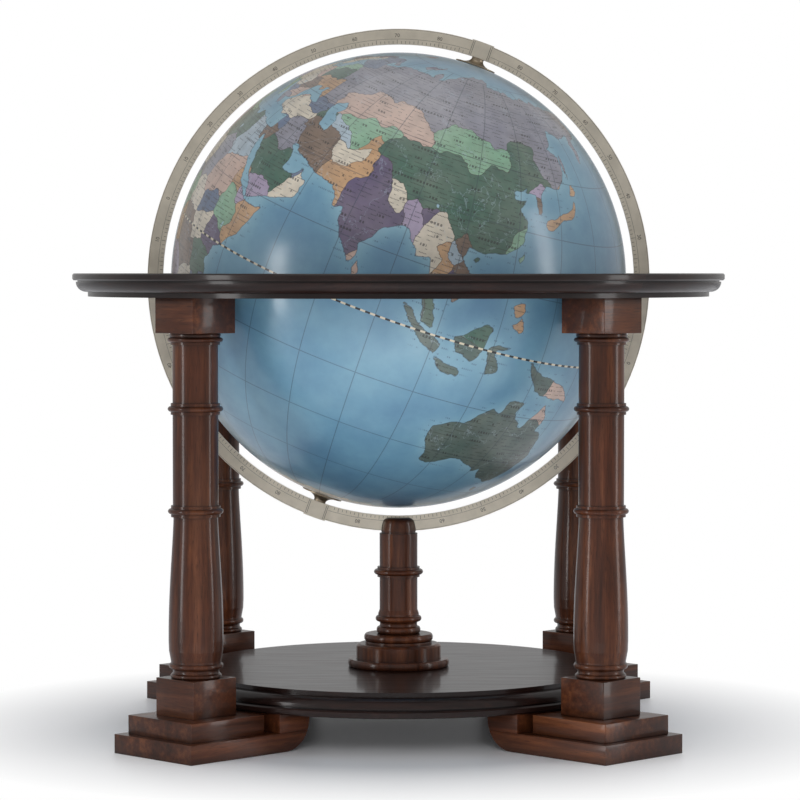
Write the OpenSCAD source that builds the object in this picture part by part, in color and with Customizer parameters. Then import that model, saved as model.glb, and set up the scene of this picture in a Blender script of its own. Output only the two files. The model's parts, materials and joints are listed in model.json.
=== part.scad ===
// Desktop globe: a ball that turns in a full metal meridian ring. The ring is carried in a
// slotted pedestal and in two notches of a wooden horizon ring on four turned columns.
// The origin is on the floor under the ball, with +Z up and the meridian ring in the XZ plane.

/* [Ball] */
// Diameter of the ball
globe_d = 400; // [330:1:480]
// Wall of the two half shells
shell_t = 3; // [2:0.5:6]
// Width of the band glued inside the equator seam
band_w = 24; // [16:1:40]
// Thickness of that band
band_t = 2.5; // [1.5:0.5:4]
// Tilt of the ball's axis from upright at rest
axis_tilt = 19.7; // [16:0.1:30]

/* [Poles] */
// Diameter of each pole pin
pin_d = 3; // [2:0.5:3.5]
// Diameter of the bush that turns on the pin
bush_d = 14; // [10:1:18]
// Diameter of the bush's flange inside the shell
bush_flange_d = 26; // [22:1:40]
// Length of each bush
bush_len = 12; // [9:1:25]
// Diameter of the flared cap where it meets the ball
cap_d = 36; // [28:1:50]
// Diameter of the cap's neck
cap_neck_d = 10.7; // [8:0.1:14]
// Thickness of the cap's rim
cap_rim_t = 1; // [0.6:0.1:2]

/* [Meridian ring] */
// Gap between the ball and the ring
ring_gap = 7.5; // [6:0.5:15]
// Width of the ring along its radius
ring_w = 13.5; // [10:0.5:20]
// Thickness of the ring
ring_t = 5; // [4:0.5:8]
// Length of each pole clasp along the ring
clasp_len = 20; // [14:1:30]
// Height of the clasp's side plates above the ring's faces
clasp_face = 1; // [0.6:0.1:2]
// Height of the clasp's strap above the ring's rim
clasp_rim = 0.8; // [0.6:0.1:2]

/* [Horizon ring] */
// Gap between the ball and the horizon ring
horizon_gap = 10; // [9:0.5:20]
// Width of the horizon ring along its radius
horizon_w = 76; // [64:1:100]
// Thickness of its top board
horizon_board_t = 6; // [4:0.5:10]
// Height of the rounded moulding below the board
horizon_ovolo_h = 10; // [8:0.5:16]
// Height of the flat lowest step of the moulding
horizon_step_h = 4; // [3:0.5:8]
// Height of the horizon's top above the ball's centre
horizon_rise = 6.5; // [4:0.5:10]
// Depth of each notch beyond the ring's rim
notch_depth = 1.5; // [1:0.5:4]

/* [Legs] */
// Distance of the column axes inside the horizon ring's edge
leg_inset = 48; // [36:1:60]
// Width of the square plinth and cap blocks
block_w = 47; // [40:1:60]
// Height of the plinth block
plinth_h = 31.4; // [24:0.1:50]
// Height of the cap block
cap_block_h = 29.3; // [24:0.1:50]
// Width of the lower foot board
foot_w = 96.7; // [80:0.1:120]
// Thickness of the lower foot board
foot_t = 16; // [12:1:24]
// Reach of the lower foot board beyond the column axis
foot_reach = 48; // [42:1:60]
// Width of the square step board
step_w = 80; // [60:1:90]
// Thickness of the step board
step_t = 16; // [12:1:24]
// Gap between the step board and the shelf bearer
bearer_gap = 10; // [4:1:16]
// Radius of the rounded inner end of each foot
foot_end_r = 27; // [18:1:30]

/* [Columns] */
// Diameter of the plain shaft
shaft_d = 37.9; // [30:0.1:42]
// Diameter of the flat fillets beside each bead
fillet_d = 41; // [34:0.1:46]
// Diameter of the collar beads
bead_d = 46; // [40:0.1:52]
// Diameter of the vase at its belly
vase_d = 45.6; // [40:0.1:52]
// Height of the vase
vase_h = 120; // [90:1:150]
// Distance of the upper collar's foot below the column's top
collar_drop = 67.4; // [40:0.1:90]

/* [Shelf] */
// Gap between the shelf's edge and the plinth blocks
shelf_gap = 19.5; // [12:0.5:30]
// Width of the shelf's edge that rests on each foot
shelf_bearing = 41.2; // [34:0.1:60]
// Thickness of the shelf's lower board
shelf_board_t = 6; // [4:0.5:10]
// Height of the rounded part of the shelf's upper panel
shelf_ovolo_h = 10; // [8:0.5:16]
// Height of the flat top step of the panel
shelf_step_h = 4; // [3:0.5:8]

/* [Pedestal] */
// Height of the pedestal above the shelf
pedestal_h = 131.5; // [115:0.5:180]
// Diameter of the pedestal's lowest tier
pedestal_d = 89.2; // [76:0.1:120]
// Diameter of the pedestal's shaft
stem_d = 33.5; // [28:0.1:40]
// Depth of the slot that holds the meridian ring
slot_depth = 12; // [8:0.5:14]
// Thickness of the felt lining at the slot's sides
felt_side = 1; // [0.5:0.5:2]
// Thickness of the felt lining at the slot's floor
felt_floor = 1.5; // [1:0.5:3]

/* [Fasteners and clearances] */
// Diameter of the wood screws
screw_d = 4; // [3:0.5:6]
// Diameter of the wood screws' heads
screw_head_d = 9; // [7:0.5:12]
// Diameter of the pedestal's bolt
bolt_d = 6; // [5:0.5:8]
// Diameter of the bolt's head
bolt_head_d = 14; // [10:0.5:18]
// Diameter of the column dowels
dowel_d = 12; // [8:1:16]
// Diameter of the horizon dowels
peg_d = 8; // [6:1:10]
// Gap between the moving ring and what guides it
guide_gap = 0.5; // [0.4:0.1:1]
// Radial clearance of the pole pins in their bushes
pin_fit = 0.05; // [0.02:0.01:0.1]
// Radial clearance of screws, dowels and bushes in their holes
hole_fit = 0.15; // [0.1:0.05:0.3]

/* [Hidden] */
$fn = 96;
// Steps around the ball, the meridian ring, its clasps and its slot, which are much larger than the rest
LARGE_FN = 240;

// Turned profiles are drawn with this many steps across each bead or cove
BEAD_STEPS = 10;
// Steps along the vase and along each quarter-round moulding
CURVE_STEPS = 14;
// Overshoot that lets a cut pass cleanly through a face
CUT = 1;
// Room left at the blind end of a screw or dowel hole
END_ROOM = 0.5;
// Gap between two curved faces that belong to the same body
SEAT = 0.1;

WOOD = "#5a2c1a";
DARK_WOOD = "#3a1f16";
METAL = "#b3a795";
BRONZE = "#6f6254";
STEEL = "#8d9094";
FELT = "#1f3a2a";
OCEAN = "#8db4c8";
PALE_WOOD = "#c49a6c";

globe_r = globe_d / 2;
shell_r = globe_r - shell_t;
ring_in_r = globe_r + ring_gap;
ring_out_r = ring_in_r + ring_w;
horizon_in_r = globe_r + horizon_gap;
horizon_r = horizon_in_r + horizon_w;

// Legs, from the outer edge inward
leg_r = horizon_r - leg_inset;
shelf_r = leg_r - block_w / 2 - shelf_gap;
foot_in_r = shelf_r - shelf_bearing;
foot_out_r = leg_r + foot_reach;
bearer_out_r = leg_r - step_w / 2 - bearer_gap;

// Heights, from the floor up
step_z = foot_t;
plinth_z = step_z + step_t;
shelf_z = plinth_z;
panel_z = shelf_z + shelf_board_t;
shelf_top = panel_z + shelf_ovolo_h + shelf_step_h;
pedestal_top = shelf_top + pedestal_h;
globe_z = pedestal_top - slot_depth + ring_out_r;
horizon_top = globe_z + horizon_rise;
horizon_board_z = horizon_top - horizon_board_t;
moulding_z = horizon_board_z - horizon_ovolo_h - horizon_step_h;
column_z = plinth_z + plinth_h;
cap_block_z = moulding_z - cap_block_h;
column_h = cap_block_z - column_z;

// Mouldings step back by these amounts from the outer edge of the board beside them
BOARD_EASE = 1.2;
QUIRK_BACK = 4.5;
QUIRK_H = 1.2;
OVOLO_BACK = 3;
OVOLO_RUN = 9;
STEP_BACK = 13.5;

// Fasteners
HEAD_H = 3.5;
HEAD_RECESS = 5;
BOLT_HEAD_H = 4;
FOOT_SCREW_OUT = 12;
FOOT_SCREW_BITE = 20;
SHELF_SCREW_IN = 8;
SHELF_SCREW_BITE = 13;
DOWEL_IN_COLUMN = 24;
DOWEL_IN_BLOCK = 16;
PEG_OUT = 12;
PEG_IN_BLOCK = 12;
PEG_IN_MOULDING = 9;
BOLT_BITE = 24;
shelf_screw_r = bearer_out_r - SHELF_SCREW_IN;

// Ring, clasps and caps, measured along the pole axis from the ball's centre
channel_w = ring_t + 2 * guide_gap;
bush_top = sqrt(pow(globe_r, 2) - pow(bush_d / 2, 2));
flange_top = sqrt(pow(shell_r, 2) - pow(bush_flange_d / 2, 2)) - SEAT;
FLANGE_T = 3;
pin_in = bush_top - bush_len + CUT;
pin_out = ring_out_r - SEAT;
CAP_GAP = 0.3;
cap_edge = sqrt(pow(globe_r + CAP_GAP, 2) - pow(cap_d / 2, 2)) + cap_rim_t;
cap_top = sqrt(pow(ring_in_r, 2) - pow(cap_neck_d / 2, 2)) - CAP_GAP;
CAP_NECK_H = 1;

// Turnings are rows of [height, radius at foot, radius at top, swell at mid-height]
BEAD_H = 4.6;
FILLET_H = 2.4;
fillet_r = fillet_d / 2;
shaft_r = shaft_d / 2;
bead_swell = (bead_d - fillet_d) / 2;
vase_foot_r = fillet_r + 0.4;
vase_neck_r = shaft_r - 0.5;
collar = [
    [FILLET_H, fillet_r, fillet_r, 0],
    [BEAD_H, fillet_r, fillet_r, bead_swell],
    [FILLET_H, fillet_r, fillet_r, 0],
];
column_foot = [
    [3.5, fillet_r - 0.5, fillet_r - 0.5, 1.2],
    [4.4, fillet_r, fillet_r, -1.3],
    [4.5, fillet_r + 0.4, fillet_r + 0.4, bead_swell - 0.8],
    [1.6, fillet_r + 0.4, fillet_r + 0.4, 0],
];
column_crown = [
    [2.1, fillet_r, fillet_r, 0],
    [4, fillet_r, fillet_r, bead_swell],
    [3.4, fillet_r, fillet_r, 0.6],
];
shaft_low_h = column_h - total(column_foot) - vase_h - total(collar) - collar_drop;
shaft_high_h = collar_drop - total(collar) - total(column_crown);

tier_r = pedestal_d / 2;
stem_r = stem_d / 2;
pedestal_foot = [
    [7, tier_r - 1.4, tier_r - 1.4, 1.4],
    [0.5, tier_r - 7, tier_r - 7, 0],
    [10.5, tier_r - 7.3, tier_r - 7.3, 0],
    [2.3, tier_r - 7.3, tier_r - 10, 0.7],
];
stem_foot = [
    [2.1, stem_r + 12.7, stem_r + 12.7, 0],
    [6.6, stem_r + 11.7, stem_r + 11.7, 2],
    [6.3, stem_r + 0.7, stem_r + 0.7, 2],
    [4.3, stem_r + 0.7, stem_r + 0.7, -1],
    [5.3, stem_r + 1, stem_r + 1, 2.6],
    [1.8, stem_r + 1.3, stem_r + 1.3, 0],
    [3.5, stem_r + 1.3, stem_r, 0],
];
stem_crown = [[1.9, stem_r + 2, stem_r + 2, 0]];
head_foot = [
    [5, stem_r + 2, stem_r + 2, 3],
    [2, stem_r + 2, stem_r + 2, 0],
];
head_shaft = [[29.6, stem_r, stem_r, 0]];
head_crown = [
    [2, stem_r - 1.7, stem_r - 1.7, 0],
    [9, stem_r - 1.2, stem_r - 3, 0.4],
    [2.8, stem_r - 3, stem_r - 7, 0.8],
];
stem_h = pedestal_h - total(pedestal_foot) - total(head_foot) - total(head_shaft) - total(head_crown);
stem_shaft_h = stem_h - total(stem_foot) - total(stem_crown);
stem_z = shelf_top + total(pedestal_foot);
head_z = stem_z + stem_h;

// Each leg has a name and a direction
LEGS = [["front_left", 225], ["front_right", 315], ["back_left", 135], ["back_right", 45]];
LEG_PIECES = ["foot_board", "foot_step", "shelf_bearer", "plinth_block", "column", "cap_block"];

// Sum of the heights of a turning's rows, up to a given row
function total(rows, count = undef) =
    let(n = is_undef(count) ? len(rows) : count)
    n == 0 ? 0 : rows[n - 1][0] + total(rows, n - 1);

// Outline of one row of a turning whose foot is at height z
function row_points(row, z) =
    row[3] == 0
    ? [[row[1], z], [row[2], z + row[0]]]
    : [
        for (i = [0:BEAD_STEPS])
        let(a = 180 * i / BEAD_STEPS, rise = (1 - cos(a)) / 2)
        [row[1] + (row[2] - row[1]) * rise + row[3] * sin(a), z + row[0] * rise]
    ];

// Outline of all rows, from height z upward
function turning(rows, z = 0) =
    [for (i = [0:len(rows) - 1]) each row_points(rows[i], z + total(rows, i))];

// A list of points without neighbours that coincide
function distinct(points) =
    [for (i = [0:len(points) - 1]) if (i == 0 || norm(points[i] - points[i - 1]) > 0.001) points[i]];

// Share of the vase's swell at a share u of its height below its neck
BELLY = 0.84;
function vase_share(u) =
    u < BELLY ? pow(sin(90 * u / BELLY), 1.3) : 1 - 0.43 * pow((u - BELLY) / (1 - BELLY), 3);
function vase_points(z) = [
    for (i = [0:CURVE_STEPS])
    let(u = 1 - i / CURVE_STEPS)
    [vase_neck_r + (vase_d / 2 - vase_neck_r) * vase_share(u), z + vase_h * (1 - u)]
];

// A solid turned about +Z from an outline of [radius, height] points
module turned(points) {
    last = points[len(points) - 1];
    rotate_extrude()
        polygon(distinct(concat([[0, points[0][1]]], points, [[0, last[1]]])));
}

// An edge moulding, from its narrow step at height 0 to its wide end
function moulding_points(edge_r, step_h, ovolo_h) = concat(
    [[edge_r - STEP_BACK, 0], [edge_r - STEP_BACK, step_h]],
    [
        for (i = [0:CURVE_STEPS])
        let(a = 90 * i / CURVE_STEPS)
        [
            edge_r - OVOLO_BACK - OVOLO_RUN * (1 - sin(a)),
            step_h + (ovolo_h - QUIRK_H) * (1 - cos(a))
        ]
    ],
    [[edge_r - QUIRK_BACK, step_h + ovolo_h - QUIRK_H], [edge_r - QUIRK_BACK, step_h + ovolo_h]]
);

module on_leg(leg) {
    rotate([0, 0, leg[1]])
        children();
}

module on_every_leg() {
    for (leg = LEGS)
        on_leg(leg)
            children();
}

// A screw whose head ends at height HEAD_RECESS and whose tip is at height tip
module screw(tip) {
    translate([0, 0, HEAD_RECESS - HEAD_H])
        cylinder(d = screw_head_d, h = HEAD_H);
    translate([0, 0, HEAD_RECESS])
        cylinder(d = screw_d, h = tip - HEAD_RECESS);
}

module screw_hole(tip) {
    translate([0, 0, -CUT])
        cylinder(d = screw_head_d + 2 * hole_fit, h = HEAD_RECESS + CUT);
    translate([0, 0, -CUT])
        cylinder(d = screw_d + 2 * hole_fit, h = tip + END_ROOM + CUT);
}

foot_screw_tip = plinth_z + FOOT_SCREW_BITE;
shelf_screw_tip = shelf_z + SHELF_SCREW_BITE;

module at_foot_screws() {
    for (out = [-FOOT_SCREW_OUT, FOOT_SCREW_OUT])
        translate([leg_r + out, 0, 0])
            children();
}

module at_shelf_screw() {
    translate([shelf_screw_r, 0, 0])
        children();
}

module at_pegs() {
    for (side = [-PEG_OUT, PEG_OUT])
        translate([leg_r, side, moulding_z])
            children();
}

// What is cut away below the rounded inner end of a foot, from the board and the bearer
module foot_end_waste() {
    difference() {
        translate([foot_in_r - CUT, -foot_w / 2 - CUT, -CUT])
            cube([foot_end_r + CUT, foot_w + 2 * CUT, foot_end_r + CUT]);
        translate([foot_in_r + foot_end_r, 0, foot_end_r])
            rotate([90, 0, 0])
                cylinder(r = foot_end_r, h = foot_w + 4 * CUT, center = true);
    }
}

module foot_board() {
    color(WOOD)
        difference() {
            translate([foot_in_r, -foot_w / 2, 0])
                cube([foot_out_r - foot_in_r, foot_w, foot_t]);
            foot_end_waste();
            at_foot_screws()
                screw_hole(foot_screw_tip);
            at_shelf_screw()
                screw_hole(shelf_screw_tip);
        }
}

module foot_step() {
    color(WOOD)
        difference() {
            translate([leg_r - step_w / 2, -step_w / 2, step_z])
                cube([step_w, step_w, step_t]);
            at_foot_screws()
                screw_hole(foot_screw_tip);
        }
}

module shelf_bearer() {
    color(WOOD)
        difference() {
            translate([foot_in_r, -foot_w / 2, step_z])
                cube([bearer_out_r - foot_in_r, foot_w, shelf_z - step_z]);
            foot_end_waste();
            at_shelf_screw()
                screw_hole(shelf_screw_tip);
        }
}

module plinth_block() {
    color(WOOD)
        difference() {
            translate([leg_r - block_w / 2, -block_w / 2, plinth_z])
                cube([block_w, block_w, plinth_h]);
            at_foot_screws()
                screw_hole(foot_screw_tip);
            translate([leg_r, 0, column_z - DOWEL_IN_BLOCK])
                cylinder(d = dowel_d + 2 * hole_fit, h = DOWEL_IN_BLOCK + CUT);
        }
}

// Outline of a column from its foot to its crown
function column_points() =
    let(
        vase_z = total(column_foot),
        low_collar_z = vase_z + vase_h,
        shaft_z = low_collar_z + total(collar),
        high_collar_z = shaft_z + shaft_low_h,
        high_shaft_z = high_collar_z + total(collar)
    )
    concat(
        turning(column_foot),
        vase_points(vase_z),
        turning(collar, low_collar_z),
        turning([[shaft_low_h, shaft_r, shaft_r, 0]], shaft_z),
        turning(collar, high_collar_z),
        turning([[shaft_high_h, shaft_r, shaft_r, 0]], high_shaft_z),
        turning(column_crown, high_shaft_z + shaft_high_h)
    );

module column() {
    color(WOOD)
        translate([leg_r, 0, column_z])
            difference() {
                turned(column_points());
                translate([0, 0, -CUT])
                    cylinder(d = dowel_d + 2 * hole_fit, h = DOWEL_IN_COLUMN + END_ROOM + CUT);
                translate([0, 0, column_h - DOWEL_IN_COLUMN])
                    cylinder(d = dowel_d + 2 * hole_fit, h = DOWEL_IN_COLUMN + CUT);
            }
}

module cap_block() {
    color(WOOD)
        difference() {
            translate([leg_r - block_w / 2, -block_w / 2, cap_block_z])
                cube([block_w, block_w, cap_block_h]);
            translate([leg_r, 0, cap_block_z - CUT])
                cylinder(d = dowel_d + 2 * hole_fit, h = DOWEL_IN_BLOCK + END_ROOM + CUT);
            at_pegs()
                translate([0, 0, -PEG_IN_BLOCK])
                    cylinder(d = peg_d + 2 * hole_fit, h = PEG_IN_BLOCK + CUT);
        }
}

module foot_screws() {
    color(STEEL)
        on_every_leg()
            at_foot_screws()
                screw(foot_screw_tip);
}

module shelf_screws() {
    color(STEEL)
        on_every_leg()
            at_shelf_screw()
                screw(shelf_screw_tip);
}

module column_dowels() {
    dowel_h = DOWEL_IN_BLOCK + DOWEL_IN_COLUMN;
    color(PALE_WOOD)
        on_every_leg()
            translate([leg_r, 0, 0]) {
                translate([0, 0, column_z - DOWEL_IN_BLOCK])
                    cylinder(d = dowel_d, h = dowel_h);
                translate([0, 0, cap_block_z - DOWEL_IN_COLUMN])
                    cylinder(d = dowel_d, h = dowel_h);
            }
}

module horizon_pegs() {
    color(PALE_WOOD)
        on_every_leg()
            at_pegs()
                translate([0, 0, -PEG_IN_BLOCK])
                    cylinder(d = peg_d, h = PEG_IN_BLOCK + PEG_IN_MOULDING);
}

// The clearance hole of the pedestal's bolt, from the shelf's underside upward
bolt_seat = shelf_z + BOLT_HEAD_H;
bolt_tip = stem_z + BOLT_BITE;

module bolt_hole() {
    translate([0, 0, shelf_z - CUT])
        cylinder(d = bolt_head_d + 2 * hole_fit, h = BOLT_HEAD_H + CUT);
    translate([0, 0, shelf_z - CUT])
        cylinder(d = bolt_d + 2 * hole_fit, h = bolt_tip + END_ROOM - shelf_z + CUT);
}

module shelf_board() {
    color(DARK_WOOD)
        difference() {
            translate([0, 0, shelf_z])
                turned([
                    [shelf_r - BOARD_EASE, 0],
                    [shelf_r, BOARD_EASE],
                    [shelf_r, shelf_board_t - BOARD_EASE],
                    [shelf_r - BOARD_EASE, shelf_board_t],
                ]);
            bolt_hole();
            on_every_leg()
                at_shelf_screw()
                    screw_hole(shelf_screw_tip);
        }
}

module shelf_panel() {
    height = shelf_ovolo_h + shelf_step_h;
    color(DARK_WOOD)
        difference() {
            translate([0, 0, panel_z + height])
                mirror([0, 0, 1])
                    turned(moulding_points(shelf_r, shelf_step_h, shelf_ovolo_h));
            bolt_hole();
            on_every_leg()
                at_shelf_screw()
                    screw_hole(shelf_screw_tip);
        }
}

// The two notches that the meridian ring passes through
module ring_notches() {
    reach = ring_out_r + notch_depth;
    translate([-reach, -channel_w / 2, moulding_z - CUT])
        cube([2 * reach, channel_w, horizon_top - moulding_z + 2 * CUT]);
}

module horizon_board() {
    color(DARK_WOOD)
        difference() {
            translate([0, 0, horizon_board_z])
                turned([
                    [horizon_r - BOARD_EASE, 0],
                    [horizon_r, BOARD_EASE],
                    [horizon_r, horizon_board_t - BOARD_EASE],
                    [horizon_r - BOARD_EASE, horizon_board_t],
                ]);
            translate([0, 0, horizon_board_z - CUT])
                cylinder(r = horizon_in_r, h = horizon_board_t + 2 * CUT);
            ring_notches();
        }
}

module horizon_moulding() {
    height = horizon_step_h + horizon_ovolo_h;
    color(DARK_WOOD)
        difference() {
            translate([0, 0, moulding_z])
                turned(moulding_points(horizon_r, horizon_step_h, horizon_ovolo_h));
            translate([0, 0, moulding_z - CUT])
                cylinder(r = horizon_in_r, h = height + 2 * CUT);
            ring_notches();
            on_every_leg()
                at_pegs()
                    translate([0, 0, -CUT])
                        cylinder(d = peg_d + 2 * hole_fit, h = PEG_IN_MOULDING + END_ROOM + CUT);
        }
}

module pedestal_base() {
    color(WOOD)
        difference() {
            translate([0, 0, shelf_top])
                turned(turning(pedestal_foot));
            bolt_hole();
        }
}

module pedestal_stem() {
    color(WOOD)
        difference() {
            translate([0, 0, stem_z])
                turned(turning(concat(stem_foot, [[stem_shaft_h, stem_r, stem_r, 0]], stem_crown)));
            bolt_hole();
            translate([0, 0, head_z - DOWEL_IN_BLOCK])
                cylinder(d = dowel_d + 2 * hole_fit, h = DOWEL_IN_BLOCK + CUT);
        }
}

module head_blank() {
    translate([0, 0, head_z])
        turned(turning(concat(head_foot, head_shaft, head_crown)));
}

// The slot cut across the head, lining included
module head_slot() {
    floor_z = pedestal_top - slot_depth - guide_gap - felt_floor;
    slot_w = channel_w + 2 * felt_side;
    translate([-pedestal_d / 2, -slot_w / 2, floor_z])
        cube([pedestal_d, slot_w, pedestal_top - floor_z + CUT]);
}

module pedestal_head() {
    color(WOOD)
        difference() {
            head_blank();
            head_slot();
            translate([0, 0, head_z - CUT])
                cylinder(d = dowel_d + 2 * hole_fit, h = DOWEL_IN_BLOCK + END_ROOM + CUT);
        }
}

module slot_felt() {
    color(FELT)
        difference() {
            intersection() {
                head_blank();
                head_slot();
            }
            translate([0, 0, globe_z])
                rotate([90, 0, 0])
                    cylinder(r = ring_out_r + guide_gap, h = channel_w, center = true, $fn = LARGE_FN);
        }
}

// The bolt holds the shelf and the pedestal together, and a dowel joins stem and head
module pedestal_bolt() {
    color(STEEL) {
        translate([0, 0, shelf_z])
            cylinder(d = bolt_head_d, h = BOLT_HEAD_H);
        translate([0, 0, bolt_seat])
            cylinder(d = bolt_d, h = bolt_tip - bolt_seat);
    }
}

module pedestal_dowel() {
    color(PALE_WOOD)
        translate([0, 0, head_z - DOWEL_IN_BLOCK])
            cylinder(d = dowel_d, h = 2 * DOWEL_IN_BLOCK);
}

// Places what is drawn about the ball's centre with the north pole along +Z
module on_axis() {
    translate([0, 0, globe_z])
        rotate([0, axis_tilt, 0])
            children();
}

module at_south() {
    mirror([0, 0, 1])
        children();
}

module ring_plate(inner_r, outer_r, thickness) {
    rotate([90, 0, 0])
        difference() {
            cylinder(r = outer_r, h = thickness, center = true, $fn = LARGE_FN);
            cylinder(r = inner_r, h = thickness + 2 * CUT, center = true, $fn = LARGE_FN);
        }
}

module pin_bores() {
    cylinder(d = pin_d + 2 * pin_fit, h = 2 * (ring_out_r + CUT), center = true);
}

module meridian_ring() {
    color(METAL)
        on_axis()
            difference() {
                ring_plate(ring_in_r, ring_out_r, ring_t);
                pin_bores();
            }
}

module clasp() {
    difference() {
        intersection() {
            ring_plate(ring_in_r, ring_out_r + clasp_rim, ring_t + 2 * clasp_face);
            translate([-clasp_len / 2, -ring_t, 0])
                cube([clasp_len, 2 * ring_t, ring_out_r + clasp_rim + CUT]);
        }
        rotate([90, 0, 0])
            cylinder(r = ring_out_r + SEAT, h = ring_t, center = true, $fn = LARGE_FN);
    }
}

module north_clasp() {
    color(BRONZE)
        on_axis()
            clasp();
}

module south_clasp() {
    color(BRONZE)
        on_axis()
            at_south()
                clasp();
}

module pin() {
    translate([0, 0, pin_in])
        cylinder(d = pin_d, h = pin_out - pin_in);
}

module north_pin() {
    color(STEEL)
        on_axis()
            pin();
}

module south_pin() {
    color(STEEL)
        on_axis()
            at_south()
                pin();
}

module hemisphere() {
    difference() {
        sphere(r = globe_r, $fn = LARGE_FN);
        sphere(r = shell_r, $fn = LARGE_FN);
        translate(-(globe_r + CUT) * [1, 1, 1])
            cube((globe_r + CUT) * [2, 2, 1]);
        cylinder(d = bush_d + 2 * hole_fit, h = globe_r + CUT);
    }
}

module north_hemisphere() {
    color(OCEAN)
        on_axis()
            hemisphere();
}

module south_hemisphere() {
    color(OCEAN)
        on_axis()
            at_south()
                hemisphere();
}

module equator_band() {
    band_r = sqrt(pow(shell_r, 2) - pow(band_w / 2, 2)) - SEAT;
    color(PALE_WOOD)
        on_axis()
            difference() {
                cylinder(r = band_r, h = band_w, center = true);
                cylinder(r = band_r - band_t, h = band_w + 2 * CUT, center = true);
            }
}

module bush() {
    difference() {
        union() {
            translate([0, 0, bush_top - bush_len])
                cylinder(d = bush_d, h = bush_len);
            translate([0, 0, flange_top - FLANGE_T])
                cylinder(d = bush_flange_d, h = FLANGE_T);
        }
        cylinder(d = pin_d + 2 * pin_fit, h = globe_r + CUT);
    }
}

module north_bush() {
    color(BRONZE)
        on_axis()
            bush();
}

module south_bush() {
    color(BRONZE)
        on_axis()
            at_south()
                bush();
}

// A flared cap over the pole, whose neck ends just short of the ring
module cap() {
    cap_r = cap_d / 2;
    neck_r = cap_neck_d / 2;
    bore_r = pin_d / 2 + CAP_GAP;
    neck_z = cap_top - CAP_NECK_H;
    underside = [
        for (i = [0:CURVE_STEPS])
        let(r = bore_r + (cap_r - bore_r) * i / CURVE_STEPS)
        [r, sqrt(pow(globe_r + CAP_GAP, 2) - pow(r, 2))]
    ];
    flare = [
        for (i = [0:CURVE_STEPS])
        let(a = 90 * i / CURVE_STEPS)
        [cap_r - (cap_r - neck_r) * sin(a), neck_z - (neck_z - cap_edge) * cos(a)]
    ];
    rotate_extrude()
        polygon(concat(underside, flare, [[neck_r, cap_top], [bore_r, cap_top]]));
}

module north_cap() {
    color(BRONZE)
        on_axis()
            cap();
}

module south_cap() {
    color(BRONZE)
        on_axis()
            at_south()
                cap();
}

for (leg = LEGS) {
    on_leg(leg) foot_board();
    on_leg(leg) foot_step();
    on_leg(leg) shelf_bearer();
    on_leg(leg) plinth_block();
    on_leg(leg) column();
    on_leg(leg) cap_block();
}
foot_screws();
shelf_screws();
column_dowels();
horizon_pegs();
shelf_board();
shelf_panel();
horizon_board();
horizon_moulding();
pedestal_base();
pedestal_stem();
pedestal_head();
pedestal_bolt();
pedestal_dowel();
slot_felt();
meridian_ring();
north_clasp();
south_clasp();
north_pin();
south_pin();
north_hemisphere();
south_hemisphere();
equator_band();
north_bush();
south_bush();
north_cap();
south_cap();
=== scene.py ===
"""Looks of the desktop globe on its stand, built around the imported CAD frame."""

import json
import math

import bmesh
import bpy
import numpy as np
from mathutils import Matrix, Vector


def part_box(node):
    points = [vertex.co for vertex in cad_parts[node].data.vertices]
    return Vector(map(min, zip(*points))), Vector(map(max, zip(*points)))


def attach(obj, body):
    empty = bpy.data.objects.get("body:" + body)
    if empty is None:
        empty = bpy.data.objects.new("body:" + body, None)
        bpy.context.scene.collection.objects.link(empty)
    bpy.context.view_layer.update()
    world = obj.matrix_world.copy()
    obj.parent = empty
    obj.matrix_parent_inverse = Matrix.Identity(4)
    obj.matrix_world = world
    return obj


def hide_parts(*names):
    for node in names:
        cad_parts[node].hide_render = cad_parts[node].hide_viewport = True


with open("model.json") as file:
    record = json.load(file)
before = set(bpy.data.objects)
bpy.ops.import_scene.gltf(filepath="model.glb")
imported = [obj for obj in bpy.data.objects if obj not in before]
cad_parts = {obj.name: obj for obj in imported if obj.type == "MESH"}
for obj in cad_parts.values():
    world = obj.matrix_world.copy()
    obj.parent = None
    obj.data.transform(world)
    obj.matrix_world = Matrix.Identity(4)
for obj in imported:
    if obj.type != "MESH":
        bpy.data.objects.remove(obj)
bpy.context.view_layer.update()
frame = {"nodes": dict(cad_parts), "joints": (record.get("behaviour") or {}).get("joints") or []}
MM = 0.001

# ------------------------------------------------------------------ places, from the frame

nodes = frame["nodes"]
joint = {j["name"]: j for j in frame["joints"]}
centre = Vector(joint["globe_spin"]["pos_m"])
axis = Vector(joint["globe_spin"]["axis"]).normalized()
lean = math.atan2(axis.x, axis.z)
globe_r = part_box("north_hemisphere")[1].y
ring_low, ring_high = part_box("meridian_ring")
ring_out = ring_high.x
ring_t = ring_high.y - ring_low.y
ring_in = ring_out - 13.5 * MM
CLASP_HALF = 10 * MM
SHELL_T = 3 * MM
BUSH_HOLE_R = 7.2 * MM
LEGS = {"front_left": 225, "front_right": 315, "back_left": 135, "back_right": 45}


# ------------------------------------------------------------------ camera, stage and light

def set_camera():
    """A long lens far in front, a little above the ball's centre."""
    distance = 2.767
    height = 0.402
    side = 0.0013
    pitch_down = math.radians(2.373)
    data = bpy.data.cameras.new("camera")
    data.lens = 141.2
    data.sensor_width = 36
    data.clip_end = 50
    camera = bpy.data.objects.new("camera", data)
    camera.location = (side, -distance, height)
    camera.rotation_euler = (math.radians(90) - pitch_down, 0, 0)
    bpy.context.scene.collection.objects.link(camera)
    bpy.context.scene.camera = camera


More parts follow.
